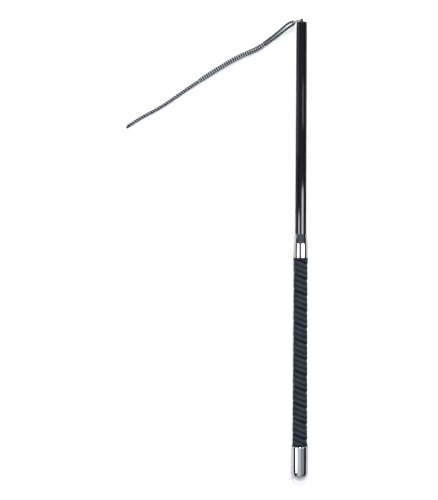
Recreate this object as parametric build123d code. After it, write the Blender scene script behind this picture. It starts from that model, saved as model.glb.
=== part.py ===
"""Telescopic lunge whip, collapsed and lying on a flat surface, with its lash beside it.

The whip's axis is parallel to +Y, butt at -Y and tip at +Y, +Z up.  The origin is on the surface,
under the middle of the whip's length.  Millimetres throughout.
"""
from build123d import *
import math
import os

# ---------------------------------------------------------------- driving dimensions
CAP_RADIUS = 12.65          # chrome butt cap, the thickest part, rests on the surface
CAP_LENGTH = 50.0
GRIP_LENGTH = 273.0
FERRULE_LENGTH = 34.4
TUBE_LENGTH = 307.6         # outer tube that shows between the ferrule and its mouth
TIP_STANDOUT = 5.0          # how far the tip stands out of the mouth when collapsed

CAP_WALL = 1.0
CAP_LIP = 0.6               # lip inside the cap's rim that grips the end of the wrapped band
CAP_LIP_LENGTH = 1.5
CAP_RIM_ROUND = 1.1
GRIP_TOP_RADIUS = 9.95
GRIP_END_RADIUS = 10.65
BAND_THICKNESS = 1.2
BINDING_HEIGHT = 3.2
TOP_RING_RADIUS = 10.55
END_RING_RADIUS = 11.2

FERRULE_NECK_RADIUS = 9.5
FERRULE_SKIRT_RADIUS = 11.1
FERRULE_CONE = 12.2         # length of the cone from the ferrule's small end
FERRULE_CONE_RADIUS = 10.35
FERRULE_SHOULDER = 1.5      # length of the step between the cone and the skirt
FERRULE_SHOULDER_RADIUS = 10.7
FERRULE_WALL = 0.8

TUBE_MOUTH_RADIUS = 7.52
TUBE_TAPER = 0.00147        # radius gained per millimetre towards the butt
TUBE_MOUTH_BORE = 6.3
TUBE_BORE_TAPER = 0.0012
MOUTH_RING_HEIGHT = 2.4
MOUTH_RING_RADIUS = 7.55

MIDDLE_BASE_RADIUS = 6.27
MIDDLE_TOP_RADIUS = 4.9
MIDDLE_BASE_BORE = 4.9
MIDDLE_TOP_BORE = 3.9
MIDDLE_RING_HEIGHT = 2.0
MIDDLE_RING_RADIUS = 5.1
TIP_BASE_RADIUS = 3.9
TIP_TOP_RADIUS = 1.5
TIP_CAP_RADIUS = 2.45
TIP_CAP_LENGTH = 12.0
TIP_BINDING = 0.35          # depth of the cup in the cap that takes the keeper's binding
TIP_NOSE_ROUND = 1.2

PLUG_LENGTH = 34.0          # plug that closes the tube's butt
PLUG_HEAD = 9.0             # part of the plug that fills the cap below the tube
PAD_HEIGHT = 4.0
PAD_GAP = 1.0               # free space between the pad and each collapsed section

KEEPER_DIAMETER = 1.6
LEG_DIAMETER = 3.0          # one leg of the lash's eye
LASH_DIAMETER = 6.4
LASH_END_LENGTH = 3.0
LASH_END_TAPER = 0.8

FIT_GAP = 0.05              # between pieces of one body that are glued together
RING_BORE_GAP = 0.1         # a mouth ring's bore is this much wider in radius than its tube's
MOUTH_RECESS = 3.0          # the middle section's mouth is this far inside the outer tube's
ROD_COVER = 1.0             # thickness of the tip cap's nose over the end of the rod
BINDING_RECESS = 0.5        # the keeper's binding ends this far inside the mouth
MOUTH_RING_ROUND = 0.8
BINDING_ROUND = 0.5
MIDDLE_RING_ROUND = 0.4

# Route of the lash on the surface, from the throat of its eye to its free end.
LASH_ROUTE = [
    (-54.0, 299.2),
    (-66.0, 290.7),
    (-92.0, 280.4),
    (-128.0, 258.8),
    (-165.0, 234.0),
    (-206.0, 205.0),
    (-231.0, 192.8),
    (-254.0, 177.5),
]

# Middle line of the lash's eye: distance from the throat towards the tip, sideways shift, height of
# its centre above the surface, and half the distance between its two legs.
EYE_STATIONS = [
    (0.0, 0.0, 3.2, 1.8),
    (9.0, 0.0, 3.2, 1.85),
    (20.0, 0.2, 4.2, 1.95),
    (32.0, 0.8, 6.4, 2.15),
    (43.5, 1.6, 8.8, 2.55),
    (50.0, 0.6, 10.0, 2.65),
]

# Middle line of the keeper: x, y, z and half the distance between its two strands.
KEEPER_STATIONS = [
    (-1.8, 332.4, 12.65, 0.8),
    (-4.4, 332.5, 12.8, 0.9),
    (-6.6, 332.1, 12.7, 1.4),
    (-8.9, 331.0, 12.0, 2.7),
    (-11.8, 329.3, 10.3, 2.8),
]

# ---------------------------------------------------------------- places along the whip
AXIS_Z = CAP_RADIUS
LENGTH = CAP_LENGTH + GRIP_LENGTH + FERRULE_LENGTH + TUBE_LENGTH + TIP_STANDOUT
BUTT_Y = -LENGTH / 2
CAP_RIM_Y = BUTT_Y + CAP_LENGTH
GRIP_TOP_Y = CAP_RIM_Y + GRIP_LENGTH
FERRULE_TOP_Y = GRIP_TOP_Y + FERRULE_LENGTH
MOUTH_Y = FERRULE_TOP_Y + TUBE_LENGTH
TIP_Y = MOUTH_Y + TIP_STANDOUT
TUBE_TOP_Y = MOUTH_Y - MOUTH_RING_HEIGHT
TUBE_BUTT_Y = BUTT_Y + CAP_WALL + PLUG_HEAD
PLUG_TOP_Y = TUBE_BUTT_Y + PLUG_LENGTH
PAD_TOP_Y = PLUG_TOP_Y + PAD_HEIGHT
SECTION_BASE_Y = PAD_TOP_Y + PAD_GAP
MIDDLE_TOP_Y = TUBE_TOP_Y - MOUTH_RECESS
MIDDLE_TUBE_TOP_Y = MIDDLE_TOP_Y - MIDDLE_RING_HEIGHT
TIP_ROD_TOP_Y = TIP_Y - ROD_COVER
BINDING_TOP_Y = MOUTH_Y - BINDING_RECESS

os.makedirs("parts", exist_ok=True)


def tube_radius(y):
    """Outer radius of the tapered outer tube at y."""
    return TUBE_MOUTH_RADIUS + TUBE_TAPER * (TUBE_TOP_Y - y)


def tube_bore(y):
    """Bore radius of the outer tube at y."""
    return TUBE_MOUTH_BORE + TUBE_BORE_TAPER * (TUBE_TOP_Y - y)


def grip_radius(y):
    """Outer radius of the wrapped grip at y."""
    along = (GRIP_TOP_Y - y) / GRIP_LENGTH
    return GRIP_TOP_RADIUS + (GRIP_END_RADIUS - GRIP_TOP_RADIUS) * along


def middle_bore(y):
    """Bore radius of the middle section at y."""
    along = (y - SECTION_BASE_Y) / (MIDDLE_TOP_Y - SECTION_BASE_Y)
    return MIDDLE_BASE_BORE + (MIDDLE_TOP_BORE - MIDDLE_BASE_BORE) * along


def turned(face):
    """Revolve a face drawn as (radius, y) about the whip's axis."""
    return Pos(0, 0, AXIS_Z) * revolve(face, Axis.Y)


def outline(*points):
    """Closed face through (radius, y) points joined by straight edges."""
    return make_face(Polyline(*points, close=True))


def sleeve(y_low, y_high, outer, inner):
    """Tapered ring between two heights; outer and inner give a radius at y."""
    return turned(outline(
        (inner(y_low), y_low),
        (outer(y_low), y_low),
        (outer(y_high), y_high),
        (inner(y_high), y_high),
    ))


def rounded_ring(y_low, y_high, inner, outer, rounding, both=True):
    """Ring of constant radii whose outer edges, or only the upper one, are rounded."""
    face = outline((inner, y_low), (outer, y_low), (outer, y_high), (inner, y_high))
    corners = face.vertices().group_by(Axis.X)[-1].sort_by(Axis.Y)
    return turned(fillet(corners if both else corners[1:], rounding))


def write(node, solid):
    """Write one piece to its own file."""
    solid.label = node
    export_step(solid, f"parts/{node}.step")


# ---------------------------------------------------------------- handle
def outer_tube():
    return sleeve(TUBE_BUTT_Y, TUBE_TOP_Y, tube_radius, tube_bore)


def mouth_ring():
    bore = TUBE_MOUTH_BORE + RING_BORE_GAP
    return rounded_ring(TUBE_TOP_Y, MOUTH_Y, bore, MOUTH_RING_RADIUS, MOUTH_RING_ROUND, both=False)


def bell_edges(offset):
    """Edges of the ferrule's bell, moved inwards by offset, from its small end to its skirt's edge.

    A cone, a small shoulder and a skirt that is nearly parallel to the axis.
    """
    cone_end = FERRULE_TOP_Y - FERRULE_CONE
    corners = [
        (FERRULE_NECK_RADIUS - offset, FERRULE_TOP_Y),
        (FERRULE_CONE_RADIUS - offset, cone_end),
        (FERRULE_SHOULDER_RADIUS - offset, cone_end - FERRULE_SHOULDER),
        (FERRULE_SKIRT_RADIUS - offset, GRIP_TOP_Y),
    ]
    return [Line(start, end) for start, end in zip(corners, corners[1:])]


def ferrule():
    outside = bell_edges(0)
    inside = bell_edges(FERRULE_WALL)
    rims = [
        Line(outside[0] @ 0, inside[0] @ 0),
        Line(outside[-1] @ 1, inside[-1] @ 1),
    ]
    return turned(make_face(outside + inside + rims))


def ferrule_bush():
    """Plastic sleeve that fills the space between the tube and the ferrule."""
    bell = bell_edges(FERRULE_WALL + FIT_GAP)
    top = (tube_radius(FERRULE_TOP_Y), FERRULE_TOP_Y)
    bottom = (tube_radius(GRIP_TOP_Y), GRIP_TOP_Y)
    rest = [
        Line(bell[-1] @ 1, bottom),
        Line(bottom, top),
        Line(top, bell[0] @ 0),
    ]
    return turned(make_face(bell + rest))


def grip_core():
    """Soft sleeve under the wrapped band."""
    return sleeve(CAP_RIM_Y, GRIP_TOP_Y, lambda y: grip_radius(y) - BAND_THICKNESS, tube_radius)


def grip_band():
    low = CAP_RIM_Y + BINDING_HEIGHT
    high = GRIP_TOP_Y - BINDING_HEIGHT
    return sleeve(low, high, grip_radius, lambda y: grip_radius(y) - BAND_THICKNESS)


def binding_ring(y_low, radius):
    """Ring that ties down one end of the grip band."""
    y_high = y_low + BINDING_HEIGHT
    core = max(grip_radius(y_low), grip_radius(y_high)) - BAND_THICKNESS
    return rounded_ring(y_low, y_high, core, radius, BINDING_ROUND)


def butt_cap():
    """Hollow chrome cap: a cylinder with a domed end and a rounded rim."""
    inner = CAP_RADIUS - CAP_WALL
    lip = inner - CAP_LIP
    lip_end = CAP_RIM_Y - CAP_LIP_LENGTH
    centre = BUTT_Y + CAP_RADIUS
    slope = math.sin(math.radians(45))
    edges = [
        Line((CAP_RADIUS, centre), (CAP_RADIUS, CAP_RIM_Y - CAP_RIM_ROUND)),
        ThreePointArc(
            (CAP_RADIUS, CAP_RIM_Y - CAP_RIM_ROUND),
            (CAP_RADIUS - CAP_RIM_ROUND * (1 - slope), CAP_RIM_Y - CAP_RIM_ROUND * (1 - slope)),
            (CAP_RADIUS - CAP_RIM_ROUND, CAP_RIM_Y),
        ),
        Line((CAP_RADIUS - CAP_RIM_ROUND, CAP_RIM_Y), (lip, CAP_RIM_Y)),
        Line((lip, CAP_RIM_Y), (lip, lip_end)),
        Line((lip, lip_end), (inner, lip_end)),
        Line((inner, lip_end), (inner, centre)),
        ThreePointArc((inner, centre), (inner * slope, centre - inner * slope), (0, centre - inner)),
        Line((0, centre - inner), (0, BUTT_Y)),
        ThreePointArc((0, BUTT_Y), (CAP_RADIUS * slope, centre - CAP_RADIUS * slope), (CAP_RADIUS, centre)),
    ]
    return turned(make_face(edges))


def cap_bush():
    """Plastic sleeve between the tube's butt and the cap's wall."""
    inner = CAP_RADIUS - CAP_WALL - FIT_GAP
    low = BUTT_Y + CAP_RADIUS
    return sleeve(low, CAP_RIM_Y - CAP_LIP_LENGTH - FIT_GAP, lambda y: inner, tube_radius)


def butt_plug():
    """Turned plug: a spigot inside the tube and a domed head that fills the cap's end."""
    dome = CAP_RADIUS - CAP_WALL - FIT_GAP
    centre = BUTT_Y + CAP_RADIUS
    head_radius = math.sqrt(dome ** 2 - (centre - TUBE_BUTT_Y) ** 2)
    spigot = tube_bore(PLUG_TOP_Y) - FIT_GAP
    angle = (math.pi / 2 + math.atan2(centre - TUBE_BUTT_Y, head_radius)) / 2
    edges = [
        ThreePointArc(
            (0, centre - dome),
            (dome * math.cos(angle), centre - dome * math.sin(angle)),
            (head_radius, TUBE_BUTT_Y),
        ),
        Line((head_radius, TUBE_BUTT_Y), (spigot, TUBE_BUTT_Y)),
        Line((spigot, TUBE_BUTT_Y), (spigot, PLUG_TOP_Y)),
        Line((spigot, PLUG_TOP_Y), (0, PLUG_TOP_Y)),
        Line((0, PLUG_TOP_Y), (0, centre - dome)),
    ]
    return turned(make_face(edges))


def stop_pad():
    """Rubber disc on the plug that the collapsed sections come to rest on."""
    radius = tube_bore(PAD_TOP_Y) - FIT_GAP
    return turned(outline((0, PLUG_TOP_Y), (radius, PLUG_TOP_Y), (radius, PAD_TOP_Y), (0, PAD_TOP_Y)))


# ---------------------------------------------------------------- middle section
def middle_tube():
    return turned(outline(
        (MIDDLE_BASE_BORE, SECTION_BASE_Y),
        (MIDDLE_BASE_RADIUS, SECTION_BASE_Y),
        (MIDDLE_TOP_RADIUS, MIDDLE_TUBE_TOP_Y),
        (middle_bore(MIDDLE_TUBE_TOP_Y), MIDDLE_TUBE_TOP_Y),
    ))


def middle_ring():
    bore = MIDDLE_TOP_BORE + RING_BORE_GAP
    return rounded_ring(MIDDLE_TUBE_TOP_Y, MIDDLE_TOP_Y, bore, MIDDLE_RING_RADIUS, MIDDLE_RING_ROUND)


# ---------------------------------------------------------------- tip section
def tip_radius(y):
    """Radius of the solid tip rod at y."""
    along = (y - SECTION_BASE_Y) / (TIP_ROD_TOP_Y - SECTION_BASE_Y)
    return TIP_BASE_RADIUS + (TIP_TOP_RADIUS - TIP_BASE_RADIUS) * along


def tip_rod():
    return turned(outline(
        (0, SECTION_BASE_Y),
        (TIP_BASE_RADIUS, SECTION_BASE_Y),
        (TIP_TOP_RADIUS, TIP_ROD_TOP_Y),
        (0, TIP_ROD_TOP_Y),
    ))


def keeper_binding():
    """Thread that binds the keeper's ends to the rod, under the tip cap."""
    low = TIP_Y - TIP_CAP_LENGTH
    return sleeve(low, BINDING_TOP_Y, lambda y: TIP_CAP_RADIUS - TIP_BINDING, tip_radius)


def tip_cap():
    """Cup pressed over the bound end of the rod, with a rounded nose."""
    low = TIP_Y - TIP_CAP_LENGTH
    step = BINDING_TOP_Y
    bound = TIP_CAP_RADIUS - TIP_BINDING
    nose = TIP_NOSE_ROUND
    bend = nose * (1 - math.sin(math.radians(45)))
    edges = [
        Line((bound, low), (TIP_CAP_RADIUS, low)),
        Line((TIP_CAP_RADIUS, low), (TIP_CAP_RADIUS, TIP_Y - nose)),
        ThreePointArc(
            (TIP_CAP_RADIUS, TIP_Y - nose),
            (TIP_CAP_RADIUS - bend, TIP_Y - bend),
            (TIP_CAP_RADIUS - nose, TIP_Y),
        ),
        Line((TIP_CAP_RADIUS - nose, TIP_Y), (0, TIP_Y)),
        Line((0, TIP_Y), (0, TIP_ROD_TOP_Y)),
        Line((0, TIP_ROD_TOP_Y), (TIP_TOP_RADIUS, TIP_ROD_TOP_Y)),
        Line((TIP_TOP_RADIUS, TIP_ROD_TOP_Y), (tip_radius(step), step)),
        Line((tip_radius(step), step), (bound, step)),
        Line((bound, step), (bound, low)),
    ]
    return turned(make_face(edges))


# ---------------------------------------------------------------- cord
def corner_radii(points, diameter, name, share=0.45):
    """Fillet radius at each corner: share of the shorter run over the tangent of half the turn."""
    radii = []
    for before, corner, after in zip(points, points[1:], points[2:]):
        run_in = Vector(*corner) - Vector(*before)
        run_out = Vector(*after) - Vector(*corner)
        half_turn = math.radians(run_in.get_angle(run_out)) / 2
        radii.append(share * min(run_in.length, run_out.length) / math.tan(half_turn))
    smallest = min(radii)
    print(f"{name}: radii {[round(r, 1) for r in radii]}, smallest {smallest / diameter:.1f} diameters")
    return radii


def cord_tube(points, diameter, name):
    """Round tube along straight runs joined by tangent arcs."""
    path = FilletPolyline(*points, radius=corner_radii(points, diameter, name))
    start = Plane(origin=path @ 0, z_dir=path % 0)
    tube = sweep(start * Circle(diameter / 2), path=path)
    expected = math.pi * diameter ** 2 / 4 * path.length
    print(f"{name}: length {path.length:.1f}, volume {tube.volume:.0f}, section x length {expected:.0f}")
    return tube


def lash_direction():
    """Unit vector from the throat of the eye towards the free end."""
    start, following = LASH_ROUTE[0], LASH_ROUTE[1]
    return (Vector(*following) - Vector(*start)).normalized()


LASH_Z = LASH_DIAMETER / 2
THROAT = Vector(*LASH_ROUTE[0], LASH_Z)
PULL = -lash_direction()                    # from the throat towards the tip
ACROSS = Vector(-PULL.Y, PULL.X)            # sideways on the surface, towards +Y


def loop_route(middles, halves, offsets):
    """Points of a closed-ended loop: out along one side, round a nose, and back along the other.

    The nose is half a hexagon about the last middle point, so its arcs make a half circle.
    """
    edge = halves[-1] * math.tan(math.radians(30))
    forward = (middles[-1] - middles[-2]).normalized()
    nose = middles[-1] + forward * 2 * edge
    stations = middles[:-1] + [middles[-1] + forward * edge]
    upper = [m + n * h for m, h, n in zip(stations, halves, offsets)]
    lower = [m - n * h for m, h, n in zip(stations, halves, offsets)]
    return upper + [nose] + lower[::-1]


def lash_eye():
    """Long narrow loop that the strands of the lash form before they are braided together."""
    middles = [
        Vector(THROAT.X, THROAT.Y, z) + PULL * along + ACROSS * shift
        for along, shift, z, half in EYE_STATIONS
    ]
    halves = [station[3] for station in EYE_STATIONS]
    return cord_tube(loop_route(middles, halves, [ACROSS] * len(halves)), LEG_DIAMETER, "lash_eye")


def keeper_loop():
    """Teardrop of cord from the tip cap, over the mouth ring, through the eye of the lash."""
    middles = [Vector(x, y, z) for x, y, z, half in KEEPER_STATIONS]
    halves = [station[3] for station in KEEPER_STATIONS]
    offsets = []
    for index in range(len(middles)):
        before = middles[max(index - 1, 0)]
        after = middles[min(index + 1, len(middles) - 1)]
        along = (after - before).normalized()
        level = Vector(0, 0, 1).cross(along).normalized()
        offsets.append(along.cross(level))
    return cord_tube(loop_route(middles, halves, offsets), KEEPER_DIAMETER, "keeper_loop")


def lash():
    points = [(x, y, LASH_Z) for x, y in LASH_ROUTE]
    return cord_tube(points, LASH_DIAMETER, "lash")


def lash_end():
    """Sealed end of the lash, a short cone."""
    last, before = Vector(*LASH_ROUTE[-1]), Vector(*LASH_ROUTE[-2])
    direction = (last - before).normalized()
    plane = Plane(origin=(last.X, last.Y, LASH_Z), z_dir=(direction.X, direction.Y, 0))
    radius = LASH_DIAMETER / 2
    upright = (Align.CENTER, Align.CENTER, Align.MIN)
    return plane * Cone(radius, radius - LASH_END_TAPER, LASH_END_LENGTH, align=upright)


PIECES = {
    "outer_tube": outer_tube(),
    "mouth_ring": mouth_ring(),
    "ferrule": ferrule(),
    "ferrule_bush": ferrule_bush(),
    "grip_top_ring": binding_ring(GRIP_TOP_Y - BINDING_HEIGHT, TOP_RING_RADIUS),
    "grip_core": grip_core(),
    "grip_band": grip_band(),
    "grip_end_ring": binding_ring(CAP_RIM_Y, END_RING_RADIUS),
    "butt_cap": butt_cap(),
    "cap_bush": cap_bush(),
    "butt_plug": butt_plug(),
    "stop_pad": stop_pad(),
    "middle_tube": middle_tube(),
    "middle_ring": middle_ring(),
    "tip_rod": tip_rod(),
    "keeper_binding": keeper_binding(),
    "tip_cap": tip_cap(),
    "keeper_loop": keeper_loop(),
    "lash_eye": lash_eye(),
    "lash": lash(),
    "lash_end": lash_end(),
}

for node_name, piece in PIECES.items():
    write(node_name, piece)
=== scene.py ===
"""Looks of a collapsed telescopic lunge whip that lies on a pale studio floor with its braided lash.

Metres, in the frame of the CAD model: the whip's axis is parallel to +Y, butt at -Y, +Z up.
"""
import math
from bisect import bisect_right

import bmesh
import bpy
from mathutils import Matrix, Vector

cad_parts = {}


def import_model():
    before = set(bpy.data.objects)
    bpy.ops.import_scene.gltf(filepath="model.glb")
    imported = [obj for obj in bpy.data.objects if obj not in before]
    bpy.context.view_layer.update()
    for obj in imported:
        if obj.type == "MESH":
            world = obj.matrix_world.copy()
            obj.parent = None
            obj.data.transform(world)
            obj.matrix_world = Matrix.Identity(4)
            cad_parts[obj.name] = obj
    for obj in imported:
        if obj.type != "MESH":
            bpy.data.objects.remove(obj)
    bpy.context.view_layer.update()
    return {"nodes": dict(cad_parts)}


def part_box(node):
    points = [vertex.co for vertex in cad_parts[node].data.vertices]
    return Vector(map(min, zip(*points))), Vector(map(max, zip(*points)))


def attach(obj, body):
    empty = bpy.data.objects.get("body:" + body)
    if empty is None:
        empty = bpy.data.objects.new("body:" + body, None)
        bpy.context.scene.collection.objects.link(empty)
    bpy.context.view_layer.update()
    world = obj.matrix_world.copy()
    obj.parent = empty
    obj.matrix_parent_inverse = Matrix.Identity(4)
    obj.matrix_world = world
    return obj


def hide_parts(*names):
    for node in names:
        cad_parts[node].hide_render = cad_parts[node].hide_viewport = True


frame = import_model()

MM = 0.001
TURN = 2 * math.pi

# ---------------------------------------------------------------- places and sizes
CAP_LOW, CAP_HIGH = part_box("butt_cap")
CAP_RADIUS = (CAP_HIGH.x - CAP_LOW.x) / 2
AXIS_Z = (CAP_HIGH.z + CAP_LOW.z) / 2
CAP_WALL = 1.0 * MM
CAP_RIM_ROUND = 1.1 * MM
CAP_LIP = 0.6 * MM              # how far the rim's lip stands inwards from the wall
CAP_LIP_LENGTH = 1.5 * MM

FERRULE_LOW, FERRULE_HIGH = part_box("ferrule")
FERRULE_SKIRT_RADIUS = (FERRULE_HIGH.x - FERRULE_LOW.x) / 2
FERRULE_NECK_RADIUS = 9.5 * MM
FERRULE_CONE_RADIUS = 10.35 * MM
FERRULE_SHOULDER_RADIUS = 10.7 * MM
FERRULE_CONE = 12.2 * MM
FERRULE_SHOULDER = 1.5 * MM
FERRULE_WALL = 0.8 * MM

BAND_LOW, BAND_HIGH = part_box("grip_band")
GRIP_END_RADIUS = (BAND_HIGH.x - BAND_LOW.x) / 2
GRIP_TOP_RADIUS = 9.95 * MM
BAND_THICKNESS = 1.2 * MM
BAND_PITCH = 23.14 * MM         # one turn of the wrapped band along the whip
BAND_EDGE = -39.4 * MM          # where an edge of the band crosses the top of the grip
STITCHES_PER_TURN = 19.37       # dimples along the band in one turn
BAND_LINES = 3                  # grooves across one turn: the band's edge and two sewn seams
BAND_OVERLAP = 0.35 * MM        # how much higher each turn's edge lies than its other side
EDGE_WIDTH, EDGE_DEPTH = 1.7 * MM, 0.95 * MM
SEAM_WIDTH = 1.35 * MM
BAND_SHRINK = 0.15 * MM         # the whole band lies this far inside the plain grip

RING_WALL = 1.6 * MM            # binding rings: depth of the tape, its beads and its rounded ends
BEAD_DEPTH = 0.22 * MM
BEAD_END = 0.35 * MM
BEAD_SAMPLES = 8

MOUTH_BORE_RADIUS = 6.4 * MM
TIP_CAP_WALL = 0.35 * MM
TIP_CAP_BORE_DEPTH = 6 * MM

LEG_DIAMETER = 3.5 * MM
LEG_LEAD = 6.6 * MM             # one turn of a strand along a leg of the eye
KEEPER_DIAMETER = 1.9 * MM
KEEPER_LEAD = 3.2 * MM

# Route of the lash on the floor, from the throat of its eye to its free end: x, y, height of its middle.
LASH_ROUTE = [
    (-0.0540, 0.2992, 0.0037),
    (-0.0660, 0.2907, 0.0037),
    (-0.0920, 0.2804, 0.0037),
    (-0.1280, 0.2588, 0.0035),
    (-0.1650, 0.2340, 0.0028),
    (-0.2060, 0.2050, 0.0026),
    (-0.2310, 0.1928, 0.0025),
    (-0.2540, 0.1775, 0.0025),
]

# Middle line of the lash's eye: distance from the throat towards the tip, sideways shift, height of
# its middle, and half the distance between its two legs.
EYE_STATIONS = [
    (0.0000, 0.0000, 0.0032, 0.00180),
    (0.0090, 0.0000, 0.0032, 0.00185),
    (0.0200, 0.0002, 0.0042, 0.00195),
    (0.0320, 0.0008, 0.0064, 0.00215),
    (0.0435, 0.0016, 0.0088, 0.00255),
    (0.0500, 0.0006, 0.0100, 0.00265),
]

# Middle line of the keeper: x, y, z and half the distance between its two strands.
KEEPER_STATIONS = [
    (-0.0018, 0.3324, 0.01265, 0.0008),
    (-0.0044, 0.3325, 0.01280, 0.0009),
    (-0.0066, 0.3321, 0.01270, 0.0014),
    (-0.0089, 0.3310, 0.01200, 0.0027),
    (-0.0118, 0.3293, 0.01030, 0.0028),
]


# ---------------------------------------------------------------- camera, world and lights
CAMERA_PLACE = (-0.1185, -0.0011, AXIS_Z + 2.06)
CAMERA_ROLL = math.radians(0.26)


def camera():
    """Straight above the whip, a little to its left, so that whip and lash fill the frame."""
    data = bpy.data.cameras.new("camera")
    data.lens = 102.3
    data.sensor_width = 36
    data.clip_end = 30
    seen_from = bpy.data.objects.new("camera", data)
    seen_from.location = CAMERA_PLACE
    seen_from.rotation_euler = (0, 0, CAMERA_ROLL)
    bpy.context.collection.objects.link(seen_from)
    bpy.context.scene.camera = seen_from


LIGHT_COLOR = (0.955, 0.98, 1.0)

# Soft boxes round the whip: name, distance, first and last direction from straight up towards +X in
# degrees, first and last place along the whip, radiance. The cores hang just in front of the wide ones.
PANELS = [
    ("left_wide", 2.10, -62, -19, -0.42, 0.11, 1.6),
    ("left_core", 2.03, -57, -33, -0.44, 0.108, 8.5),
    ("cap_streak", 2.03, -60, -39, -0.64, -0.46, 8.0),
    ("right_wide", 2.10, 9, 60, -0.42, 0.19, 2.0),
    ("right_core", 2.03, 12, 50.5, -0.41, 0.186, 7.2),
    ("right_dim", 2.10, 14, 54, 0.37, 0.50, 1.2),
    ("left_low", 2.10, -84, -66, 0.28, 0.72, 1.1),
    ("butt_top", 2.10, -37, 9, -2.30, -0.52, 1.08),
    ("butt_right", 2.10, 11, 54, -1.60, -0.47, 0.40),
]

# Soft boxes past the two ends of the whip: name, middle, tilt about X in degrees, width, depth, radiance.
END_PANELS = [
    ("tip_strip", (0, 2.4, 1.9), -52, 0.5, 2.4, 42),
    ("butt_wall", (-0.05, -2.3, 1.0), 90, 3.6, 2.0, 0.78),
]


def area_light(name, location, rotation, width, depth, radiance):
    data = bpy.data.lights.new(name, "AREA")
    data.shape = "RECTANGLE"
    data.size = width
    data.size_y = depth
    data.energy = radiance * math.pi * width * depth
    data.color = LIGHT_COLOR
    lamp = bpy.data.objects.new(name, data)
    lamp.location = location
    lamp.rotation_euler = rotation
    bpy.context.collection.objects.link(lamp)


def lights():
    for name, distance, first, last, y_low, y_high, radiance in PANELS:
        middle = math.radians(first + last) / 2
        half = math.radians(last - first) / 2
        location = (
            distance * math.sin(middle),
            (y_low + y_high) / 2,
            AXIS_Z + distance * math.cos(middle),
        )
        width = 2 * distance * math.tan(half)
        area_light(name, location, (0, middle, 0), width, y_high - y_low, radiance)
    for name, location, tilt, width, depth, radiance in END_PANELS:
        area_light(name, location, (math.radians(tilt), 0, 0), width, depth, radiance)


def world():
    """Dark above the horizon and pale at it and below, so that chrome and lacquer keep dark edges."""
    surroundings = bpy.data.worlds.new("surroundings")
    surroundings.use_nodes = True
    bpy.context.scene.world = surroundings
    tree = Tree(surroundings.node_tree)
    background = tree.first("ShaderNodeBackground")
    coordinates = tree.add("ShaderNodeTexCoord")
    split = tree.add("ShaderNodeSeparateXYZ", Vector=coordinates.outputs["Generated"])
    shade = tree.ramp(split.outputs["Z"], [
        (0.0, (0.80, 0.81, 0.82)),
        (0.005, (0.78, 0.79, 0.80)),
        (0.03, (0.02, 0.022, 0.025)),
        (0.5, (0.03, 0.033, 0.036)),
        (0.72, (0.21, 0.225, 0.245)),
        (1.0, (0.21, 0.225, 0.245)),
    ])
    tree.join(shade, background.inputs["Color"])


FLOOR_SIZE = 4.4


def floor():
    bpy.ops.mesh.primitive_plane_add(size=FLOOR_SIZE)
    ground = bpy.context.active_object
    ground.name = "floor"
    ground.data.materials.append(plain_floor())


# ---------------------------------------------------------------- materials
class Tree:
    """Short ways to add and join shader nodes."""

    def __init__(self, tree):
        self.nodes = tree.nodes
        self.links = tree.links

    def first(self, kind):
        return next(node for node in self.nodes if node.bl_idname == kind)

    def join(self, output, socket):
        self.links.new(output, socket)

    def add(self, kind, **inputs):
        """Add a node; an input is a value, or the output of another node."""
        node = self.nodes.new(kind)
        for name, value in inputs.items():
            socket = node.inputs[name.replace("_", " ")]
            if isinstance(value, bpy.types.NodeSocket):
                self.links.new(value, socket)
            else:
                socket.default_value = value
        return node

    def math(self, operation, first, second=0.0):
        node = self.nodes.new("ShaderNodeMath")
        node.operation = operation
        for socket, value in zip(node.inputs, (first, second)):
            if isinstance(value, bpy.types.NodeSocket):
                self.links.new(value, socket)
            else:
                socket.default_value = value
        return node.outputs[0]

    def ramp(self, factor, stops):
        """Colour ramp with (position, colour) stops."""
        node = self.nodes.new("ShaderNodeValToRGB")
        elements = node.color_ramp.elements
        while len(elements) < len(stops):
            elements.new(0.5)
        for element, (position, color) in zip(elements, stops):
            element.position = position
            element.color = (*color, 1)
        self.links.new(factor, node.inputs["Fac"])
        return node.outputs["Color"]

    def scaled(self, factor, low, high):
        """Map 0..1 to low..high."""
        node = self.add("ShaderNodeMapRange", Value=factor)
        node.inputs["To Min"].default_value = low
        node.inputs["To Max"].default_value = high
        return node.outputs["Result"]

    def mix(self, factor, first, second):
        """Colour first, turning into the plain colour second."""
        node = self.nodes.new("ShaderNodeMix")
        node.data_type = "RGBA"
        self.links.new(factor, node.inputs["Factor"])
        self.links.new(first, node.inputs[6])
        node.inputs[7].default_value = (*second, 1)
        return node.outputs[2]

    def noise(self, vector, scale, detail=3.0, roughness=0.5):
        node = self.add("ShaderNodeTexNoise", Vector=vector, Scale=scale, Detail=detail, Roughness=roughness)
        return node.outputs["Fac"]

    def stretched(self, vector, scale):
        """Scale a vector by three factors."""
        node = self.nodes.new("ShaderNodeVectorMath")
        node.operation = "MULTIPLY"
        self.links.new(vector, node.inputs[0])
        node.inputs[1].default_value = scale
        return node.outputs["Vector"]

    def bump(self, height, strength, distance, below=None):
        node = self.add("ShaderNodeBump", Height=height, Strength=strength, Distance=distance)
        if below is not None:
            self.links.new(below, node.inputs["Normal"])
        return node.outputs["Normal"]


def new_material(name, color, roughness, **sockets):
    """Principled material; returns it with its tree, its shader and the object coordinates."""
    material = bpy.data.materials.new(name)
    material.use_nodes = True
    tree = Tree(material.node_tree)
    shader = tree.first("ShaderNodeBsdfPrincipled")
    shader.inputs["Base Color"].default_value = (*color, 1)
    shader.inputs["Roughness"].default_value = roughness
    for socket, value in sockets.items():
        shader.inputs[socket.replace("_", " ")].default_value = value
    place = tree.add("ShaderNodeTexCoord").outputs["Object"]
    return material, tree, shader, place


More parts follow.
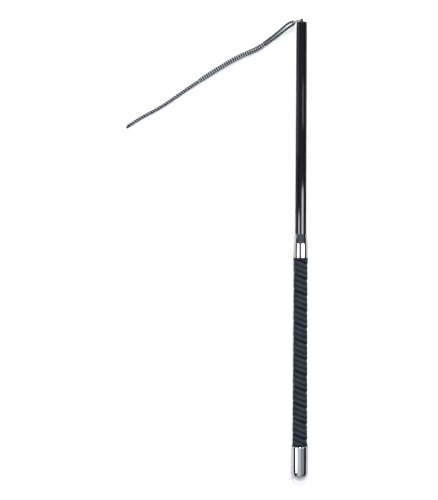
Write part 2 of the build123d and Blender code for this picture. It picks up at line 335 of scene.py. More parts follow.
def plain_floor():
    material, tree, shader, place = new_material(
        "pale_floor", (0.78, 0.78, 0.78), 0.9, Specular_IOR_Level=0.1)
    grain = tree.noise(place, scale=40, detail=4)
    tree.join(tree.scaled(grain, 0.86, 0.94), shader.inputs["Roughness"])
    return material


def chrome():
    """Polished plate with faint smears and a very slight waviness."""
    material, tree, shader, place = new_material("chrome_plate", (0.365, 0.376, 0.393), 0.05, Metallic=1.0)
    smear = tree.noise(tree.stretched(place, (1.0, 0.35, 1.0)), scale=160, detail=5, roughness=0.6)
    tree.join(tree.scaled(smear, 0.015, 0.06), shader.inputs["Roughness"])
    wave = tree.noise(place, scale=90, detail=1.5)
    fine = tree.noise(tree.stretched(place, (1.0, 0.2, 1.0)), scale=1400, detail=2)
    rough = tree.bump(fine, strength=0.02, distance=0.2 * MM)
    tree.join(tree.bump(wave, strength=0.06, distance=0.6 * MM, below=rough), shader.inputs["Normal"])
    return material


GLOSS_FACE, GLOSS_EDGE = 0.14, 0.008        # weight of the lacquer's gloss, face on and near the outline


def lacquer(name, color):
    """Thin gloss lacquer over wound glass fibre: faint lengthwise streaks and orange peel."""
    material, tree, shader, place = new_material(
        name, color, 0.5, Specular_IOR_Level=0.0, Coat_Weight=GLOSS_FACE, Coat_IOR=4.0,
        Coat_Roughness=0.05, Coat_Tint=(0.90, 0.96, 1.0, 1.0))
    streak = tree.noise(tree.stretched(place, (1.0, 0.04, 1.0)), scale=700, detail=4, roughness=0.6)
    tint = tree.ramp(streak, [(0.3, color), (0.75, tuple(part * 1.9 + 0.0006 for part in color))])
    tree.join(tint, shader.inputs["Base Color"])
    tree.join(tree.scaled(streak, 0.40, 0.60), shader.inputs["Roughness"])
    peel = tree.noise(place, scale=420, detail=2)
    tree.join(tree.bump(peel, strength=0.04, distance=0.2 * MM), shader.inputs["Coat Normal"])
    facing = tree.add("ShaderNodeLayerWeight")
    gloss = tree.ramp(facing.outputs["Facing"], [(0.25, (GLOSS_FACE,) * 3), (0.55, (GLOSS_EDGE,) * 3)])
    tree.join(gloss, shader.inputs["Coat Weight"])
    return material


def moulded(name, color, roughness=0.42):
    """Moulded plastic with a fine eroded skin."""
    material, tree, shader, place = new_material(name, color, roughness, Specular_IOR_Level=0.2)
    skin = tree.noise(place, scale=2600, detail=3, roughness=0.6)
    patch = tree.noise(place, scale=130, detail=4)
    lighter = tuple(min(1.0, part * 1.5 + 0.004) for part in color)
    tree.join(tree.ramp(patch, [(0.35, color), (0.8, lighter)]), shader.inputs["Base Color"])
    tree.join(tree.scaled(patch, roughness - 0.08, roughness + 0.12), shader.inputs["Roughness"])
    tree.join(tree.bump(skin, strength=0.25, distance=0.2 * MM), shader.inputs["Normal"])
    return material


def grip_rubber():
    """Charcoal band with a fine leather-like grain, worn lighter in patches, and painted shade that turns it
    near black in its grooves.
    """
    color = (0.021, 0.0255, 0.034)
    material, tree, shader, place = new_material("grip_rubber", color, 0.62, Specular_IOR_Level=0.05)
    groove = tree.nodes.new("ShaderNodeAttribute")
    groove.attribute_name = "groove"
    worn = tree.noise(place, scale=85, detail=5, roughness=0.6)
    grain = tree.add("ShaderNodeTexVoronoi", Vector=place, Scale=1500.0)
    cells = tree.noise(place, scale=900, detail=4, roughness=0.65)
    tint = tree.ramp(worn, [(0.25, (0.015, 0.0185, 0.025)), (0.5, color), (0.8, (0.030, 0.036, 0.046))])
    # painted shade: the colour goes near black where the groove attribute is high, in the grooves and stitch
    # dimples
    shadowed = tree.mix(groove.outputs["Fac"], tint, (0.0015, 0.0017, 0.002))
    tree.join(shadowed, shader.inputs["Base Color"])
    tree.join(tree.scaled(cells, 0.5, 0.78), shader.inputs["Roughness"])
    coarse = tree.bump(grain.outputs["Distance"], strength=0.35, distance=0.3 * MM)
    tree.join(tree.bump(cells, strength=0.35, distance=0.3 * MM, below=coarse), shader.inputs["Normal"])
    return material


TAPE_THREADS = 120.0            # sine's factor for the threads round the whip
TAPE_THREAD_PITCH = 0.6 * MM


def tape(name, color):
    """Cloth tape: threads across and along the whip."""
    material, tree, shader, place = new_material(
        name, color, 0.75, Sheen_Weight=0.05, Specular_IOR_Level=0.1)
    split = tree.add("ShaderNodeSeparateXYZ", Vector=place)
    height = tree.math("SUBTRACT", split.outputs["Z"], AXIS_Z)
    angle = tree.math("ARCTAN2", split.outputs["X"], height)
    round_threads = tree.math("SINE", tree.math("MULTIPLY", angle, TAPE_THREADS))
    long_threads = tree.math("SINE", tree.math("MULTIPLY", split.outputs["Y"], TURN / TAPE_THREAD_PITCH))
    weave = tree.math("MULTIPLY", round_threads, long_threads)
    dust = tree.noise(place, scale=600, detail=4)
    lighter = tuple(part * 2.0 + 0.006 for part in color)
    tree.join(tree.ramp(dust, [(0.3, color), (0.8, lighter)]), shader.inputs["Base Color"])
    tree.join(tree.bump(weave, strength=0.3, distance=0.1 * MM), shader.inputs["Normal"])
    return material


def yarn(name, dark, light, specular, roughness=0.55):
    """Nylon yarn: filaments that run at a slant along each strand."""
    material, tree, shader, place = new_material(
        name, dark, roughness, Specular_IOR_Level=specular)
    strand = tree.nodes.new("ShaderNodeAttribute")
    strand.attribute_name = "strand"
    split = tree.add("ShaderNodeSeparateXYZ", Vector=strand.outputs["Vector"])
    along = tree.math("MULTIPLY", split.outputs["X"], 900.0)
    across = tree.math("MULTIPLY", split.outputs["Y"], 5.0)
    filament = tree.math("SINE", tree.math("ADD", along, across))
    fuzz = tree.noise(place, scale=1800, detail=4, roughness=0.7)
    shade = tree.math("ADD", tree.math("MULTIPLY", filament, 0.22), fuzz)
    tree.join(tree.ramp(shade, [(0.25, dark), (0.75, light)]), shader.inputs["Base Color"])
    tree.join(tree.scaled(fuzz, roughness - 0.1, roughness + 0.2), shader.inputs["Roughness"])
    lines = tree.bump(filament, strength=0.45, distance=0.1 * MM)
    tree.join(tree.bump(fuzz, strength=0.3, distance=0.1 * MM, below=lines), shader.inputs["Normal"])
    return material


# ---------------------------------------------------------------- mesh helpers
SHARP_EDGE = math.radians(50)
ON_AXIS = 1e-7                  # a smaller radius than this is a point on the whip's axis


def new_piece(name, points, faces, materials, body, replaced):
    """Make a smooth-shaded piece that rides on a body and stands for its CAD nodes."""
    mesh = bpy.data.meshes.new(name)
    mesh.from_pydata(points, [], faces)
    mesh.validate()
    piece = bpy.data.objects.new(name, mesh)
    bpy.context.collection.objects.link(piece)
    for material in materials:
        mesh.materials.append(material)
    face_outwards(mesh)
    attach(piece, body)
    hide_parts(*replaced)
    return piece


def face_outwards(mesh):
    """Turn all faces outwards, and shade them smooth except across sharp edges."""
    shell = bmesh.new()
    shell.from_mesh(mesh)
    bmesh.ops.recalc_face_normals(shell, faces=shell.faces)
    if shell.calc_volume(signed=True) < 0:      # a short wide ring can still be inside out
        bmesh.ops.reverse_faces(shell, faces=shell.faces)
    shell.to_mesh(mesh)
    shell.free()
    mesh.shade_smooth()
    mesh.set_sharp_from_angle(angle=SHARP_EDGE)


def rounded(corners, steps=6):
    """Outline through (radius, y, rounding) corners, with a small curve in place of each corner."""
    outline = []
    for index, (radius, y, rounding) in enumerate(corners):
        corner = Vector((radius, y))
        if rounding == 0:
            outline.append((radius, y))
            continue
        before = Vector(corners[index - 1][:2])
        after = Vector(corners[(index + 1) % len(corners)][:2])
        start = corner + (before - corner).normalized() * rounding
        end = corner + (after - corner).normalized() * rounding
        for step in range(steps + 1):
            t = step / steps
            point = start * (1 - t) ** 2 + corner * 2 * t * (1 - t) + end * t ** 2
            outline.append((point.x, point.y))
    return outline


def held(outline, hold=0.1 * MM):
    """Closed outline with a point near both ends of each long straight part, to keep its shading straight."""
    found = []
    for start, end in zip(outline, outline[1:] + outline[:1]):
        found.append(start)
        length = math.dist(start, end)
        if length > 10 * hold:
            for share in (hold / length, 1 - hold / length):
                found.append(tuple(Vector(start).lerp(Vector(end), share)))
    return found


def lathe(outline, sides=192):
    """Points and faces of a closed outline of (radius, y), turned about the whip's axis."""
    points, rings = [], []
    for radius, y in held(outline):
        count = 1 if radius < ON_AXIS else sides
        rings.append(range(len(points), len(points) + count))
        for side in range(count):
            angle = TURN * side / sides
            points.append((radius * math.sin(angle), y, AXIS_Z + radius * math.cos(angle)))
    faces = []
    for ring, following in zip(rings, rings[1:] + rings[:1]):
        for side in range(sides):
            after = (side + 1) % sides
            corners = [
                ring[side % len(ring)],
                ring[after % len(ring)],
                following[after % len(following)],
                following[side % len(following)],
            ]
            corners = list(dict.fromkeys(corners))
            if len(corners) > 2:
                faces.append(corners)
    return points, faces


def arc(centre, radius, start, end, steps):
    """(radius, y) points of an arc; angles in degrees from the outward direction towards +Y."""
    found = []
    for step in range(steps + 1):
        angle = math.radians(start + (end - start) * step / steps)
        found.append((centre[0] + radius * math.cos(angle), centre[1] + radius * math.sin(angle)))
    return found


# ---------------------------------------------------------------- chrome and moulded pieces
def butt_cap(material):
    """Domed cap whose rim rolls over onto the grip."""
    butt, rim = CAP_LOW.y, CAP_HIGH.y
    centre = butt + CAP_RADIUS
    inner = CAP_RADIUS - CAP_WALL
    lip = inner - CAP_LIP
    lip_end = rim - CAP_LIP_LENGTH
    outside = arc((0, centre), CAP_RADIUS, -90, 0, steps=40)
    outside[0] = (0, butt)
    bead = arc((CAP_RADIUS - CAP_RIM_ROUND, rim - CAP_RIM_ROUND), CAP_RIM_ROUND, 0, 90, steps=10)
    inside = arc((0, centre), inner, 0, -90, steps=20)
    inside[-1] = (0, centre - inner)
    mouth = [(lip, rim), (lip, lip_end), (inner, lip_end)]
    points, faces = lathe(outside + bead + mouth + inside)
    new_piece("butt_cap_chrome", points, faces, [material], "handle", ["butt_cap"])


def ferrule(material):
    """Bell: a cone, a small shoulder and a nearly straight skirt with a rolled edge."""
    low, high = FERRULE_LOW.y, FERRULE_HIGH.y
    cone_end = high - FERRULE_CONE
    corners = [
        (FERRULE_SKIRT_RADIUS, low, 0.4 * MM),
        (FERRULE_SHOULDER_RADIUS, cone_end - FERRULE_SHOULDER, 0.15 * MM),
        (FERRULE_CONE_RADIUS, cone_end, 0.15 * MM),
        (FERRULE_NECK_RADIUS, high, 0.03 * MM),
        (FERRULE_NECK_RADIUS - FERRULE_WALL, high, 0.2 * MM),
        (FERRULE_CONE_RADIUS - FERRULE_WALL, cone_end, 0),
        (FERRULE_SHOULDER_RADIUS - FERRULE_WALL, cone_end - FERRULE_SHOULDER, 0),
        (FERRULE_SKIRT_RADIUS - FERRULE_WALL, low, 0.2 * MM),
    ]
    points, faces = lathe(rounded(corners))
    new_piece("ferrule_chrome", points, faces, [material], "handle", ["ferrule"])


def mouth_ring(material):
    """Moulded ring that closes the tube's mouth, with rounded edges and a lip into the bore."""
    low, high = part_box("mouth_ring")
    radius = (high.x - low.x) / 2
    corners = [
        (MOUTH_BORE_RADIUS, low.y, 0),
        (radius, low.y, 0.1 * MM),
        (radius, high.y, 0.8 * MM),
        (MOUTH_BORE_RADIUS, high.y, 0.35 * MM),
    ]
    points, faces = lathe(rounded(corners))
    new_piece("mouth_ring_moulded", points, faces, [material], "handle", ["mouth_ring"])


def tip_cap(material):
    """Peg on the end of the tip section, with a groove above its skirt and a domed nose."""
    low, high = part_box("tip_cap")
    radius = (high.x - low.x) / 2
    bore = radius - TIP_CAP_WALL
    bore_end = low.y + TIP_CAP_BORE_DEPTH
    soft = 0.2 * MM
    corners = [
        (0, high.y, 0),
        (radius - 0.35 * MM, high.y, 1.1 * MM),
        (radius - 0.2 * MM, high.y - 3.2 * MM, soft),
        (radius - 0.5 * MM, high.y - 3.6 * MM, soft),
        (radius - 0.5 * MM, high.y - 4.4 * MM, soft),
        (radius, high.y - 4.8 * MM, soft),
        (radius, low.y, soft),
        (bore, low.y, 0),
        (bore, bore_end, 0),
        (0, bore_end, 0),
    ]
    points, faces = lathe(rounded(corners), sides=64)
    new_piece("tip_cap_moulded", points, faces, [material], "tip_section", ["tip_cap"])


def taped_ring(name, node, material, beads):
    """Binding of several tight turns of tape: one soft bead for each turn."""
    low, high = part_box(node)
    outer = (high.x - low.x) / 2
    inner = outer - RING_WALL
    samples = beads * BEAD_SAMPLES
    outline = [(inner, low.y)]
    for sample in range(samples + 1):
        along = sample / samples
        bead = abs(math.sin(math.pi * beads * along)) ** 0.6
        end = BEAD_END if sample in (0, samples) else 0.0
        outline.append((outer - BEAD_DEPTH * (1 - bead) - end, low.y + (high.y - low.y) * along))
    outline.append((inner, high.y))
    points, faces = lathe(outline, sides=128)
    new_piece(name, points, faces, [material], "handle", [node])


# ---------------------------------------------------------------- grip band
BAND_COLUMNS = 152
BAND_SINK = 0.05 * MM           # the band's inner wall lies this far inside the soft sleeve
BAND_SHARP_EDGE = math.radians(60)
GROOVE_ROWS = [row * MM for row in (-2.0, -1.5, -1.1, -0.6, 0.0, 0.6, 1.1, 1.5, 2.0)]


def groove_at(distance, width, sharpness):
    """Depth of a groove, from 0 to 1, at a distance from its middle."""
    return math.exp(-abs(distance / width) ** sharpness)


def band_relief(across, stitch):
    """Height of the wrapped band above the grip's plain surface, and how deep in a groove it is, which sets
    how dark the painted shade there is.

    across is the place across one turn, in metres from the band's edge; stitch counts dimples.
    """
    overlap = BAND_OVERLAP * (1 - across / BAND_PITCH)
    edge = sum(groove_at(across - place, EDGE_WIDTH, 4) for place in (0, BAND_PITCH))
    seams = [BAND_PITCH * line / BAND_LINES for line in range(1, BAND_LINES)]
    seam = sum(groove_at(across - place, SEAM_WIDTH, 3) for place in seams)
    dimple = max(0.0, math.cos(TURN * stitch)) ** 0.8
    height = overlap - EDGE_DEPTH * edge - (0.4 + 0.4 * dimple) * MM * seam - BAND_SHRINK
    return height, min(1.0, edge + seam * (0.7 + 0.4 * dimple))


def grip_surface(y):
    """Plain radius of the grip at y."""
    along = (BAND_HIGH.y - y) / (BAND_HIGH.y - BAND_LOW.y)
    return GRIP_TOP_RADIUS + (GRIP_END_RADIUS - GRIP_TOP_RADIUS) * along


def band_unevenness(y):
    """A hand-wound band's turns are not quite evenly spaced."""
    return 0.35 * MM * math.sin(y * 61) + 0.25 * MM * math.sin(y * 147 + 1)


def grip_band(material):
    """Band wound round the grip: a grid that follows the winding, cut square at both ends."""
    rows_per_turn = []
    for line in range(BAND_LINES):
        start = line * BAND_PITCH / BAND_LINES
        rows_per_turn += [start + row for row in GROOVE_ROWS]
        rows_per_turn.append(start + BAND_PITCH / BAND_LINES / 2)
    count = len(rows_per_turn)
    first_turn = math.floor((BAND_LOW.y - BAND_EDGE) / BAND_PITCH) - 1
    last_turn = math.ceil((BAND_HIGH.y - BAND_EDGE) / BAND_PITCH) + 1
    rows = [
        (turn, across)
        for turn in range(first_turn, last_turn + 1)
        for across in rows_per_turn
    ]
    points, groove_shades = [], []
    for turn, across in rows:
        for column in range(BAND_COLUMNS):
            share = column / BAND_COLUMNS - 0.5
            y = BAND_EDGE + turn * BAND_PITCH - BAND_PITCH * share + across
            relief, groove = band_relief(across % BAND_PITCH, STITCHES_PER_TURN * (share - turn))
            groove_shades.append(groove)
            y += band_unevenness(y)
            radius = grip_surface(y) + relief
            angle = TURN * share
            points.append((radius * math.sin(angle), y, AXIS_Z + radius * math.cos(angle)))
    faces = []
    for row in range(len(rows) - 1):
        for column in range(BAND_COLUMNS - 1):
            corner = row * BAND_COLUMNS + column
            faces.append((corner, corner + 1, corner + BAND_COLUMNS + 1, corner + BAND_COLUMNS))
        if row >= count:
            corner = (row + 1) * BAND_COLUMNS - 1
            start = (row - count) * BAND_COLUMNS
            faces.append((corner, start, start + BAND_COLUMNS, corner + BAND_COLUMNS))
    band = new_piece("grip_band_wound", points, faces, [material], "handle", ["grip_band"])
    # the groove attribute carries how dark the painted shade in the grooves is
    layer = band.data.attributes.new("groove", "FLOAT", "POINT")
    layer.data.foreach_set("value", groove_shades)
    cut_and_close(band.data, BAND_LOW.y, BAND_HIGH.y)


def cut_and_close(mesh, y_low, y_high):
    """Cut the band square at both ends and close it with its inner wall."""
    shell = bmesh.new()
    shell.from_mesh(mesh)
    for y, side in ((y_low, -1), (y_high, 1)):
        everything = shell.verts[:] + shell.edges[:] + shell.faces[:]
        bmesh.ops.bisect_plane(
            shell, geom=everything, plane_co=(0, y, 0), plane_no=(0, side, 0), clear_outer=True)
    rims = [edge for edge in shell.edges if edge.is_boundary]
    inner = {}
    for edge in rims:
        for vertex in edge.verts:
            if vertex not in inner:
                radius = grip_surface(vertex.co.y) - BAND_THICKNESS - BAND_SINK
                offset = Vector((vertex.co.x, 0, vertex.co.z - AXIS_Z)).normalized() * radius
                inner[vertex] = shell.verts.new((offset.x, vertex.co.y, AXIS_Z + offset.z))
    inner_rims = []
    for edge in rims:
        first, second = edge.verts
        shell.faces.new((first, second, inner[second], inner[first]))
        inner_rims.append(shell.edges.get((inner[first], inner[second])))
    bmesh.ops.bridge_loops(shell, edges=inner_rims)
    bmesh.ops.recalc_face_normals(shell, faces=shell.faces)
    shell.to_mesh(mesh)
    shell.free()
    mesh.shade_smooth()
    mesh.set_sharp_from_angle(angle=BAND_SHARP_EDGE)


# ---------------------------------------------------------------- cord helpers
def nurbs_points(points):
    """Points of the smooth NURBS line that has these control points."""
    curve = bpy.data.curves.new("route", "CURVE")
    curve.dimensions = "3D"
    curve.resolution_u = 24
    spline = curve.splines.new("NURBS")
    spline.points.add(len(points) - 1)
    for control, point in zip(spline.points, points):
        control.co = (*point, 1)
    spline.order_u = 3
    spline.use_endpoint_u = True
    holder = bpy.data.objects.new("route", curve)
    bpy.context.collection.objects.link(holder)
    bpy.context.view_layer.update()
    mesh = bpy.data.meshes.new_from_object(holder)
    found = [vertex.co.copy() for vertex in mesh.vertices]
    bpy.data.objects.remove(holder)
    bpy.data.curves.remove(curve)
    bpy.data.meshes.remove(mesh)
    return found


class Line:
    """A cord's middle line, with a steady sideways frame at any distance along it."""

    def __init__(self, points, up=(0, 0, 1)):
        self.points = points
        self.lengths = [0.0]
        for before, after in zip(points, points[1:]):
            self.lengths.append(self.lengths[-1] + (after - before).length)
        self.length = self.lengths[-1]
        self.ups = []
        steady = Vector(up)
        for index in range(len(points)):
            along = self.direction(index)
            steady = (steady - along * steady.dot(along)).normalized()
            self.ups.append(steady.copy())

    def direction(self, index):
        before = self.points[max(index - 1, 0)]
        after = self.points[min(index + 1, len(self.points) - 1)]
        return (after - before).normalized()

    def at(self, distance):
        """Middle point, up and side at a distance from the line's start."""
        index = min(max(bisect_right(self.lengths, distance) - 1, 0), len(self.points) - 2)
        step = self.lengths[index + 1] - self.lengths[index]
        share = (distance - self.lengths[index]) / step
        inner = min(max(share, 0.0), 1.0)
        point = self.points[index].lerp(self.points[index + 1], share)
        along = self.direction(index).lerp(self.direction(index + 1), inner).normalized()
        up = self.ups[index].lerp(self.ups[index + 1], inner)
        up = (up - along * up.dot(along)).normalized()
        return point, up, up.cross(along)


class Strands:
    """Collects closed strands of oval section into one mesh."""

    def __init__(self):
        self.points = []
        self.faces = []
        self.materials = []
        self.marks = []

    def add(self, centres, outwards, widths, heights, material, sides=8):
        """Sweep an oval: its height points outwards and its width lies across the strand."""
        base = len(self.points)
        along = 0.0
        for index, centre in enumerate(centres):
            before = centres[max(index - 1, 0)]
            after = centres[min(index + 1, len(centres) - 1)]
            direction = (after - before).normalized()
            outward = outwards[index]
            outward = (outward - direction * outward.dot(direction)).normalized()
            across = direction.cross(outward)
            if index:
                along += (centre - before).length
            for side in range(sides):
                angle = TURN * side / sides
                width = widths[index] / 2 * math.cos(angle)
                height = heights[index] / 2 * math.sin(angle)
                self.points.append(centre + across * width + outward * height)
                self.marks.append((along, math.sin(angle) * 2, side / sides))
        for index in range(len(centres) - 1):
            start = base + index * sides
            for side in range(sides):
                after = (side + 1) % sides
                self.faces.append((start + side, start + after, start + sides + after, start + sides + side))
                self.materials.append(material)
        last = base + (len(centres) - 1) * sides
        self.faces.append(tuple(range(base, base + sides)))
        self.faces.append(tuple(range(last, last + sides)))
        self.materials += [material, material]

    def finish(self, name, materials, body, replaced):
        """Make one piece of all strands, with the marks that the yarn's filaments follow."""
        piece = new_piece(name, self.points, self.faces, materials, body, replaced)
        mesh = piece.data
        mesh.polygons.foreach_set("material_index", self.materials)
        layer = mesh.attributes.new("strand", "FLOAT_VECTOR", "POINT")
        layer.data.foreach_set("vector", [value for mark in self.marks for value in mark])
        return piece


def smooth_step(value, low, high):
    """0 up to low and 1 from high on, with a smooth rise between them."""
    share = min(max((value - low) / (high - low), 0.0), 1.0)
    return share * share * (3 - 2 * share)


def blend(low, high, share):
    """Low at share 0 and high at share 1."""
    return low + (high - low) * share


# ---------------------------------------------------------------- lash
DARK, LIGHT = 0, 1
PULL = (Vector(LASH_ROUTE[0][:2]) - Vector(LASH_ROUTE[1][:2])).normalized().to_3d()
ACROSS = Vector((-PULL.y, PULL.x, 0))
THROAT = Vector((LASH_ROUTE[0][0], LASH_ROUTE[0][1], 0))
THIN_FROM = 103 * MM            # where the lash starts to narrow, from the throat
THIN_AT = 113 * MM
THIN_LENGTH = 120 * MM
THICK_RADII = (3.62 * MM, 3.22 * MM)    # outer radius at the throat, and where the lash starts to narrow
THIN_RADII = (2.72 * MM, 2.45 * MM)     # and at both ends of the thin part
THICK_LEAD = 20.4 * MM          # one turn of a strand of the thick part, along the lash
THIN_LEAD = 3.8 * MM
PLAITS = 6                      # strands of the thick part that wind each way
DARK_HEIGHT, DARK_WIDTH = 1.3 * MM, 3.0 * MM
# Sizes in the thick part and in the thin part.
LIGHT_HEIGHTS = (1.3 * MM, 1.9 * MM)
LIGHT_WIDTHS = (1.7 * MM, 2.0 * MM)
LIGHT_SINKS = (0.0, 0.25 * MM)  # how much deeper the light strands lie
LIFTS = (0.50 * MM, 0.06 * MM)  # how far strands rise and dip where they cross
END_STEP = 2.6 * MM             # scale of how far light strands and core end short of the dark strand
SAMPLE = 0.2 * MM


def eye_middles():
    """Middle line of the eye, from the throat towards the tip."""
    return [
        THROAT + PULL * along + ACROSS * shift + Vector((0, 0, z))
        for along, shift, z, _ in EYE_STATIONS
    ]


NOSE_SLANT = math.radians(30)


def loop_route(middles, halves, offsets):
    """Points of a closed-ended loop: out along one side, round a nose, and back along the other."""
    edge = halves[-1] * math.tan(NOSE_SLANT)
    forward = (middles[-1] - middles[-2]).normalized()
    nose = middles[-1] + forward * 2 * edge
    stations = middles[:-1] + [middles[-1] + forward * edge]
    upper = [middle + offset * half for middle, half, offset in zip(stations, halves, offsets)]
    lower = [middle - offset * half for middle, half, offset in zip(stations, halves, offsets)]
    return upper + [nose] + lower[::-1]


def lash_radius(distance):
    """Outer radius of the lash at a distance from the throat."""
    thick = blend(*THICK_RADII, distance / THIN_FROM)
    thin = blend(*THIN_RADII, (distance - THIN_AT) / THIN_LENGTH)
    return blend(thick, thin, smooth_step(distance, THIN_FROM, THIN_AT))


def thinness(distance):
    """0 in the thick part of the lash, 1 in its thin part."""
    return smooth_step(distance, THIN_FROM, THIN_AT)


def lash_turns(end):
    """Angle that a strand has gone round the lash, at every sample along it."""
    angles = [0.0]
    for sample in range(1, round(end / SAMPLE) + 1):
        lead = blend(THICK_LEAD, THIN_LEAD, thinness(sample * SAMPLE))
        angles.append(angles[-1] + TURN * SAMPLE / lead)
    return angles


def slow_twist(distance):
    """The whole braid turns a little about its own line, as it lies."""
    near_throat = math.radians(30) * (1 - smooth_step(distance, 6 * MM, 34 * MM))
    wander = math.radians(9) * math.sin(distance * 55)
    return near_throat + wander + math.radians(45) * thinness(distance)


GONE = 0.97                     # thinness at which the strands that don't go on have ended


def braid_strand(line, start, index, handed, angles):
    """One strand of the tapered round braid: its centres, outward directions, widths and heights.

    Six dark strands wind one way and six light ones the other way. One dark and two light ones go
    on into the thin part, where the dark one is wound closely over the light ones.
    """
    dark = handed > 0
    centres, outwards, widths, heights = [], [], [], []
    kept = index == 0 or (index == 3 and not dark)
    for sample, angle in enumerate(angles):
        distance = sample * SAMPLE
        thin = thinness(distance)
        if not kept and thin > GONE:
            break
        if dark:
            height, width, sunk = DARK_HEIGHT, DARK_WIDTH, 0.0
        else:
            height = blend(*LIGHT_HEIGHTS, thin)
            width = blend(*LIGHT_WIDTHS, thin)
            sunk = blend(*LIGHT_SINKS, thin)
        lift = blend(*LIFTS, thin)
        over = blend(math.cos(PLAITS * angle), math.cos(2 * angle), thin)
        swing = blend(0.30 * math.sin(PLAITS * angle) / PLAITS, 0.2 * math.sin(2 * angle) / 2, thin)
        round_angle = TURN * index / PLAITS + slow_twist(distance) - handed * angle - swing
        inset = 1.0
        if not kept:
            fading = smooth_step(thin, 0.45 if dark else 0.1, GONE)
            inset = 1 - 0.75 * fading
            width *= 1 - 0.6 * fading
        tucked = 1 - smooth_step(distance, 0, 7 * MM)
        middle = (lash_radius(distance) - height / 2 - lift - sunk) * inset * (1 - 0.2 * tucked)
        radius = middle + handed * lift * over * inset
        point, up, side = line.at(start + distance)
        outward = up * math.cos(round_angle) + side * math.sin(round_angle)
        spread = side * math.sin(round_angle) * radius * blend(0.15, 0.06, thin)
        centres.append(point + outward * radius + spread)
        outwards.append(outward)
        widths.append(width * (1 - 0.2 * tucked))
        heights.append(height * (1 - 0.15 * tucked))
    return centres, outwards, widths, heights


LEG_TWIST = math.radians(55)    # the dark crossings of a leg face up and away from the other leg

# Strands of a leg: handedness, colour, then radius, width and height as shares of the leg's diameter.
LEG_STRANDS = [
    (1, DARK, 0.315, 0.80, 0.32),
    (-1, LIGHT, 0.225, 0.55, 0.40),
]


def braided_leg(strands, line, diameter, lead):
    """Round braid of four strands along a line, for the legs of the eye."""
    count = round(line.length / SAMPLE)
    for handed, material, place, width, height in LEG_STRANDS:
        for index in (0, 1):
            centres, outwards = [], []
            for sample in range(count + 1):
                distance = line.length * sample / count
                angle = TURN * distance / lead
                over = math.cos(2 * angle)
                round_angle = handed * angle + 0.25 * math.sin(2 * angle) + math.pi * index + LEG_TWIST
                point, up, side = line.at(distance)
                outward = up * math.cos(round_angle) + side * math.sin(round_angle)
                radius = diameter * place + handed * over * diameter * 0.04
                centres.append(point + outward * radius)
                outwards.append(outward)
            widths = [diameter * width] * len(centres)
            heights = [diameter * height] * len(centres)
            strands.add(centres, outwards, widths, heights, material)


def core(strands, line, start, end, radius_at):
    """Plain dark heart of a braid, seen only between its strands."""
    centres, outwards, sizes = [], [], []
    steps = round((end - start) / (2 * MM))
    for step in range(steps + 1):
        distance = start + (end - start) * step / steps
        point, up, _ = line.at(distance)
        centres.append(point)
        outwards.append(up)
        sizes.append(2 * radius_at(distance))
    strands.add(centres, outwards, sizes, sizes, DARK, sides=10)


def lash(dark, light):
    """Braided lash that goes down from twelve strands to three, with the long eye at its thick end."""
    middles = eye_middles()
    route = middles[:0:-1] + [Vector(point) for point in LASH_ROUTE]
    line = Line(nurbs_points(route))
    throat = min(
        range(len(line.points)),
        key=lambda index: (line.points[index] - Vector(LASH_ROUTE[0])).length,
    )
    start = line.lengths[throat]
    end = line.length - start
    angles = lash_turns(end)
    strands = Strands()
    for handed, material in ((1, DARK), (-1, LIGHT)):
        for index in range(PLAITS):
            shorter = round(END_STEP * (0.4 + 0.3 * index) / SAMPLE) if handed < 0 else 0
            strand = braid_strand(line, start, index, handed, angles[:len(angles) - shorter])
            strands.add(*strand, material)
    core(strands, line, start, line.length - 2 * END_STEP,
         lambda distance: 0.5 * lash_radius(distance - start))
    halves = [station[3] for station in EYE_STATIONS]
    loop = Line(nurbs_points(loop_route(middles, halves, [ACROSS] * len(halves))))
    braided_leg(strands, loop, LEG_DIAMETER, LEG_LEAD)
    core(strands, loop, 0, loop.length, lambda distance: LEG_DIAMETER * 0.22)
    piece = strands.finish(
        "lash_braided", [dark, light], "tip_section", ["lash", "lash_eye", "lash_end"])
    return piece, line


PLY_PLACE, PLY_WIDTH = 0.24, 0.54       # shares of the keeper's diameter


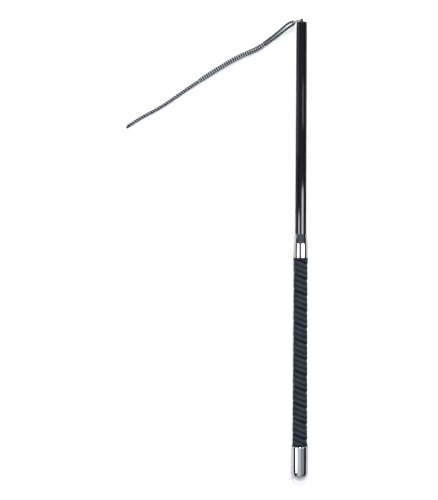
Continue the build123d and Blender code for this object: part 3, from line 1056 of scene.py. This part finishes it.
def keeper(light):
    """Loop of two-ply twisted cord from the tip cap to the eye of the lash."""
    middles = [Vector(station[:3]) for station in KEEPER_STATIONS]
    halves = [station[3] for station in KEEPER_STATIONS]
    offsets = []
    for index in range(len(middles)):
        before = middles[max(index - 1, 0)]
        after = middles[min(index + 1, len(middles) - 1)]
        along = (after - before).normalized()
        level = Vector((0, 0, 1)).cross(along).normalized()
        offsets.append(along.cross(level))
    loop = Line(nurbs_points(loop_route(middles, halves, offsets)), (1, 0, 0))
    strands = Strands()
    count = round(loop.length / SAMPLE)
    for ply in (0, 1):
        centres, outwards, sizes = [], [], []
        for sample in range(count + 1):
            distance = loop.length * sample / count
            angle = TURN * distance / KEEPER_LEAD + math.pi * ply
            point, up, side = loop.at(distance)
            outward = up * math.cos(angle) + side * math.sin(angle)
            centres.append(point + outward * KEEPER_DIAMETER * PLY_PLACE)
            outwards.append(outward)
            sizes.append(KEEPER_DIAMETER * PLY_WIDTH)
        strands.add(centres, outwards, sizes, sizes, material=0)
    return strands.finish("keeper_twisted", [light], "tip_section", ["keeper_loop"])


def cord():
    dark = yarn("black_yarn", (0.0025, 0.0027, 0.0032), (0.009, 0.010, 0.012), 0.08)
    light = yarn("grey_yarn", (0.26, 0.275, 0.30), (0.45, 0.475, 0.505), 0.2)
    grey = yarn("keeper_yarn", (0.12, 0.125, 0.135), (0.34, 0.355, 0.375), 0.25)
    loop = keeper(grey)
    piece, line = lash(dark, light)


# ---------------------------------------------------------------- the object
def paint(node, material):
    """Give a CAD node its material."""
    slots = frame["nodes"][node].data.materials
    slots.clear()
    slots.append(material)


def paint_cad_nodes():
    gloss = lacquer("gloss_tube", (0.0012, 0.0015, 0.0020))
    rod = lacquer("tip_rod_lacquer", (0.006, 0.007, 0.009))
    black = moulded("section_ring_plastic", (0.012, 0.012, 0.013))
    grey = moulded("inner_plastic_grey", (0.22, 0.22, 0.23), 0.5)
    foam = moulded("foam_sleeve", (0.05, 0.05, 0.05), 0.85)
    pad = moulded("pad_rubber_black", (0.02, 0.02, 0.02), 0.7)
    thread = tape("binding_thread", (0.02, 0.02, 0.022))
    paint("outer_tube", gloss)
    paint("middle_tube", gloss)
    paint("tip_rod", rod)
    paint("middle_ring", black)
    for node in ("ferrule_bush", "cap_bush", "butt_plug"):
        paint(node, grey)
    paint("grip_core", foam)
    paint("stop_pad", pad)
    paint("keeper_binding", thread)


bpy.context.scene.view_settings.view_transform = "Standard"
camera()
world()
lights()
floor()
cord()
plate = chrome()
butt_cap(plate)
ferrule(plate)
mouth_ring(moulded("mouth_ring_plastic", (0.008, 0.008, 0.009), 0.35))
tip_cap(moulded("tip_cap_plastic", (0.035, 0.036, 0.038), 0.5))
binding = tape("binding_tape", (0.003, 0.0033, 0.004))
taped_ring("grip_top_binding", "grip_top_ring", binding, 3)
taped_ring("grip_end_binding", "grip_end_ring", binding, 3)
grip_band(grip_rubber())
paint_cad_nodes()
